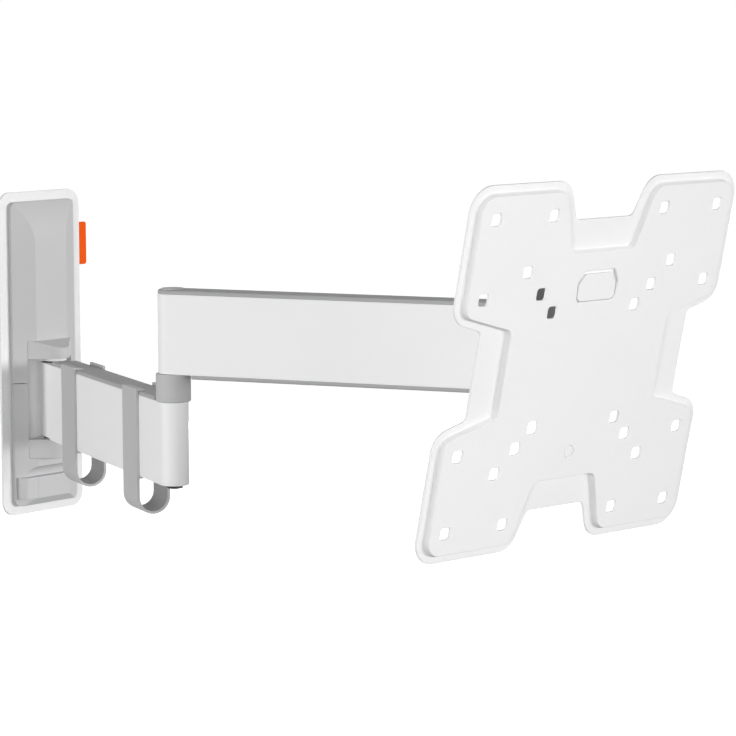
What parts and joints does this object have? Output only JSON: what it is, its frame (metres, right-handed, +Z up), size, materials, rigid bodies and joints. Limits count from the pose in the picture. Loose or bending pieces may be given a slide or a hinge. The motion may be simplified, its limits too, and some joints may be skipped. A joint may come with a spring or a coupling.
{
  "type": "swivel tv wall mount",
  "caption": "White full-motion wall mount for a flat television: covered wall plate, two flat arms with cable clips and a tilting X-shaped screen plate.",
  "frame": {"origin": "centre of the wall plate's back face", "axes": "+X to the right along the wall as seen from the room, -Y from the wall into the room, +Z up"},
  "size_m": [0.2436, 0.5656, 0.2704],
  "materials": {
    "white_steel": "satin white powder coat",
    "arm_white": "smooth semi-gloss white",
    "bracket": "satin white",
    "cover": "fine satin, light grey",
    "cap_grey": "fine satin, grey",
    "clip": "fine satin, grey",
    "collar": "satin grey",
    "disc": "satin light grey",
    "tag": "orange ribbon",
    "zinc": "zinc-plated",
    "dark_steel": "satin dark grey",
    "black_nut": "black oxide",
    "bush": "black, self-lubricating"
  },
  "bodies": {
    "wall": {"wall_plate": "white_steel", "hinge_bracket": "bracket", "bracket_screws": "zinc", "upper_cover": "cover", "lower_cover": "cover", "tag": "tag", "wall_pin": "zinc", "pin_ring": "zinc"},
    "arm_1": {"arm_1": "arm_white", "arm_1_top_cap": "cap_grey", "arm_1_bottom_cap": "arm_white", "wall_bush_upper": "bush", "wall_bush_lower": "bush", "cable_clip_1": "clip", "cable_clip_2": "clip", "elbow_collar": "collar", "elbow_pin": "zinc", "elbow_washer": "zinc", "elbow_nut": "black_nut", "elbow_disc": "disc"},
    "arm_2": {"arm_2": "arm_white", "arm_2_top_cap": "cap_grey", "arm_2_bottom_cap": "cap_grey", "elbow_bush_upper": "bush", "elbow_bush_lower": "bush", "head_bush_upper": "bush", "head_bush_lower": "bush"},
    "head": {"head_yoke": "dark_steel", "head_pin": "dark_steel", "head_washer": "zinc", "head_nut": "dark_steel", "tilt_bolt": "dark_steel", "tilt_washers": "zinc", "tilt_nut": "dark_steel"},
    "screen": {"tilt_bracket": "white_steel", "tv_plate": "white_steel", "lock_screw": "white_steel"}
  },
  "joints": [
    {"name": "wall_swing", "type": "hinge", "parent": "wall", "child": "arm_1", "pos_m": [0, -0.016, -0.034], "axis": [0, 0, 1], "range_deg": [-45, 94]},
    {"name": "elbow_turn", "type": "hinge", "parent": "arm_1", "child": "arm_2", "pos_m": [-0.10526, -0.24276, 0.003], "axis": [0, 0, 1], "range_deg": [-177, 91]},
    {"name": "head_swivel", "type": "hinge", "parent": "arm_2", "child": "head", "pos_m": [-0.02593, -0.47984, 0.0394], "axis": [0, 0, 1], "range_deg": [-65, 113]},
    {"name": "screen_tilt", "type": "hinge", "parent": "head", "child": "screen", "pos_m": [-0.02819, -0.50172, 0.0386], "axis": [0.9947, -0.1028, 0], "range_deg": [-12.8, 7.2]}
  ]
}
